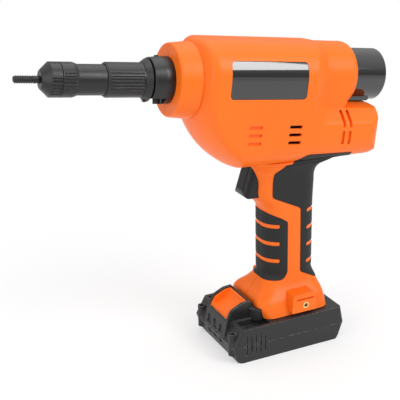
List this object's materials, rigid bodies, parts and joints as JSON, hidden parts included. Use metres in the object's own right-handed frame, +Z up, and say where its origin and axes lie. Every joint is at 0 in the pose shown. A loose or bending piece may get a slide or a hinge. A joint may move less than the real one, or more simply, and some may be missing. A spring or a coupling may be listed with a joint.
{
  "type": "battery rivet nut tool",
  "caption": "Hand held battery rivet nut tool: tilted barrel with threaded mandrel and adjustable nose, pistol grip with trigger, and slide-off battery.",
  "frame": {"origin": "middle of the battery's underside", "axes": "+Z up, nose of the barrel towards -X, left side of the tool at -Y"},
  "size_m": [0.3113, 0.078, 0.2715],
  "materials": {
    "housing": "satin moulded orange",
    "rubber": "soft matt",
    "plate": "polished",
    "black_steel": "black oxide",
    "cover": "gloss",
    "steel": "ground",
    "alloy": "cast",
    "brass": "turned",
    "copper": "bare",
    "black_plastic": "fine texture",
    "pack": "fine texture",
    "button": "satin",
    "board": "lacquer",
    "cell": "sleeved"
  },
  "bodies": {
    "tool": {"housing_left": "housing", "housing_right": "housing", "grip_pads_left": "rubber", "grip_pads_right": "rubber", "side_plate_left": "plate", "side_plate_right": "plate", "housing_screws": "black_steel", "hook_inserts": "brass", "rear_cover": "cover", "front_collar": "black_steel", "collar_set_screws": "black_steel", "nose_tube": "black_steel", "gear_case_front": "alloy", "gear_case_rear": "alloy", "gear_case_screws": "steel", "gear_case_bearings": "steel", "thrust_balls": "steel", "thrust_cage": "brass", "thrust_washer_front": "steel", "ring_gear": "steel", "motor_can": "steel", "motor_magnets": "black_plastic", "motor_end_cap": "black_plastic", "motor_brushes": "copper", "motor_bushes": "brass", "trigger_switch": "black_plastic", "trigger_spring": "steel", "control_board": "board", "terminal_block": "black_plastic", "terminal_blades": "brass"},
    "ball_nut": {"ball_nut": "steel", "thrust_washer_rear": "steel", "drive_gear": "steel"},
    "draw_spindle": {"draw_spindle": "steel", "mandrel_retainer": "steel", "anti_turn_pin": "steel", "ball_screw": "steel"},
    "mandrel": {"threaded_mandrel": "black_steel"},
    "carrier": {"planet_carrier": "steel"},
    "planet_1": {"planet_gear_1": "steel"},
    "planet_2": {"planet_gear_2": "steel"},
    "planet_3": {"planet_gear_3": "steel"},
    "rotor": {"motor_pinion": "steel", "motor_shaft": "steel", "motor_rotor": "copper", "motor_fan": "black_plastic"},
    "nose_piece": {"nose_piece": "black_steel"},
    "nose_lock_nut": {"nose_lock_nut": "black_steel"},
    "stroke_sleeve": {"stroke_sleeve": "black_steel"},
    "sleeve_lock_ring": {"sleeve_lock_ring": "black_steel"},
    "trigger": {"trigger": "black_plastic"},
    "battery": {"battery_lower_case": "pack", "battery_upper_case": "pack", "battery_screws": "black_steel", "battery_cells": "cell", "cell_frames": "black_plastic", "cell_board": "board", "battery_contacts": "copper", "button_springs": "steel"},
    "release_button": {"release_button": "button"}
  },
  "joints": [
    {"name": "nut_turn", "type": "hinge", "parent": "tool", "child": "ball_nut", "pos_m": [0, 0, 0.2303], "axis": [0.9925, 0, -0.1219], "range_deg": [0, 1080]},
    {"name": "spindle_slide", "type": "slide", "parent": "tool", "child": "draw_spindle", "axis": [0.9925, 0, -0.1219], "range_m": [0, 0.009]},
    {"name": "mandrel_spin", "type": "hinge", "parent": "draw_spindle", "child": "mandrel", "pos_m": [-0.14888, 0, 0.24858], "axis": [0.9925, 0, -0.1219], "continuous": true},
    {"name": "carrier_spin", "type": "hinge", "parent": "tool", "child": "carrier", "pos_m": [-0.00457, 0, 0.19308], "axis": [0.9925, 0, -0.1219], "range_deg": [-1920.5, 0.5]},
    {"name": "rotor_spin", "type": "hinge", "parent": "tool", "child": "rotor", "pos_m": [-0.00457, 0, 0.19308], "axis": [0.9925, 0, -0.1219], "range_deg": [-9601, 1]},
    {"name": "planet_1_spin", "type": "hinge", "parent": "carrier", "child": "planet_1", "pos_m": [0.0139, 0, 0.19988], "axis": [0.9925, 0, -0.1219], "range_deg": [-1, 5121]},
    {"name": "planet_2_spin", "type": "hinge", "parent": "carrier", "child": "planet_2", "pos_m": [0.01225, -0.00779, 0.18648], "axis": [0.9925, 0, -0.1219], "range_deg": [-1, 5121]},
    {"name": "planet_3_spin", "type": "hinge", "parent": "carrier", "child": "planet_3", "pos_m": [0.01225, 0.00779, 0.18648], "axis": [0.9925, 0, -0.1219], "range_deg": [-1, 5121]},
    {"name": "nose_piece_turn", "type": "hinge", "parent": "tool", "child": "nose_piece", "pos_m": [-0.18064, 0, 0.25248], "axis": [0.9925, 0, -0.1219], "continuous": true},
    {"name": "nose_lock_nut_turn", "type": "hinge", "parent": "tool", "child": "nose_lock_nut", "pos_m": [-0.16774, 0, 0.2509], "axis": [0.9925, 0, -0.1219], "continuous": true},
    {"name": "stroke_sleeve_turn", "type": "hinge", "parent": "tool", "child": "stroke_sleeve", "pos_m": [-0.12705, 0, 0.2459], "axis": [0.9925, 0, -0.1219], "continuous": true},
    {"name": "sleeve_lock_ring_turn", "type": "hinge", "parent": "tool", "child": "sleeve_lock_ring", "pos_m": [-0.10918, 0, 0.24371], "axis": [0.9925, 0, -0.1219], "continuous": true},
    {"name": "trigger_pull", "type": "slide", "parent": "tool", "child": "trigger", "axis": [1, 0, 0], "range_m": [0, 0.006], "stiffness_N_per_m": 900, "springref_m": -0.006},
    {"name": "battery_slide", "type": "slide", "parent": "tool", "child": "battery", "axis": [-1, 0, 0], "range_m": [0, 0.09]},
    {"name": "button_press", "type": "slide", "parent": "battery", "child": "release_button", "axis": [0, 0, -1], "range_m": [0, 0.003], "stiffness_N_per_m": 1500, "springref_m": -0.002, "deforming": ["button_springs"]}
  ],
  "couplings": [
    {"joint": "spindle_slide", "follows": "nut_turn", "m_per_rad": 0.00047746},
    {"joint": "carrier_spin", "follows": "nut_turn", "ratio": -1.7778},
    {"joint": "rotor_spin", "follows": "nut_turn", "ratio": -8.8889},
    {"joint": "planet_1_spin", "follows": "nut_turn", "ratio": 4.7407},
    {"joint": "planet_2_spin", "follows": "nut_turn", "ratio": 4.7407},
    {"joint": "planet_3_spin", "follows": "nut_turn", "ratio": 4.7407}
  ]
}
